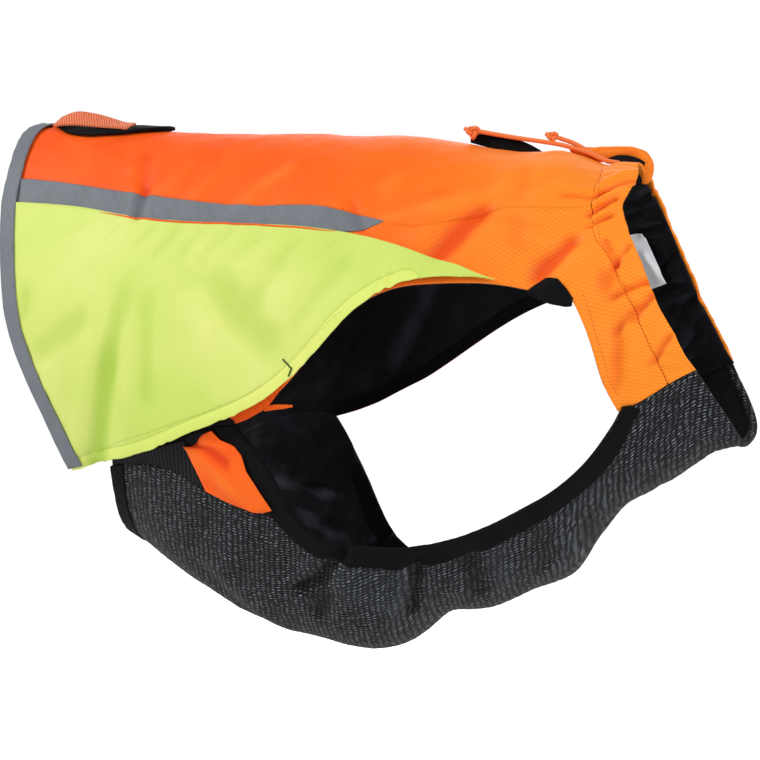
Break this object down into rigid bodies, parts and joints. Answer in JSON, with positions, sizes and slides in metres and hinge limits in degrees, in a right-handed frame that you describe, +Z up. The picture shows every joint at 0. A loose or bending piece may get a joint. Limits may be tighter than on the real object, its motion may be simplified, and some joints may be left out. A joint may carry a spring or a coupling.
{
  "type": "dog protective vest",
  "caption": "Filled-out dog vest with loose side flaps, reflective tape, knit belly part, lined armholes and a gathered neck with a knotted elastic cord.",
  "frame": {"origin": "inner face of the back on the centre line, where the wearer's back carries the vest", "axes": "+X towards the neck opening, +Z up, -Y the wearer's right side"},
  "size_m": [0.5489, 0.2172, 0.3926],
  "materials": {
    "shell": "satin",
    "flap": "satin",
    "tape": "satin",
    "lining": "satin",
    "knit": "matte",
    "binding": "matte",
    "elastic": "matte",
    "webbing": "matte",
    "cord": "matte",
    "label": "matte"
  },
  "bodies": {
    "root": {"back_panel": "shell", "side_panel_near": "shell", "side_panel_far": "shell", "body_lining": "lining", "armhole_facing_near": "binding", "armhole_facing_far": "binding", "neck_casing_near": "shell", "neck_casing_far": "shell", "neck_band": "shell", "nape_lining": "lining", "flap_near": "flap", "flap_far": "flap", "tape_near": "tape", "tape_far": "tape", "rear_binding": "tape", "belly_panel": "knit", "belly_lining": "lining", "belly_binding_near": "binding", "belly_binding_far": "binding", "belly_rear_binding": "binding", "strap_elastic_near": "elastic", "strap_elastic_far": "elastic", "strap_insert_near": "shell", "strap_insert_far": "shell", "corner_elastic_near": "binding", "corner_elastic_far": "binding", "neck_strip": "binding", "loop_patch": "binding", "webbing_loop": "webbing", "label": "label", "hem_tab": "shell", "drawcord_long": "cord", "knot_long": "cord", "drawcord_short": "cord", "knot_short": "cord"}
  },
  "joints": []
}
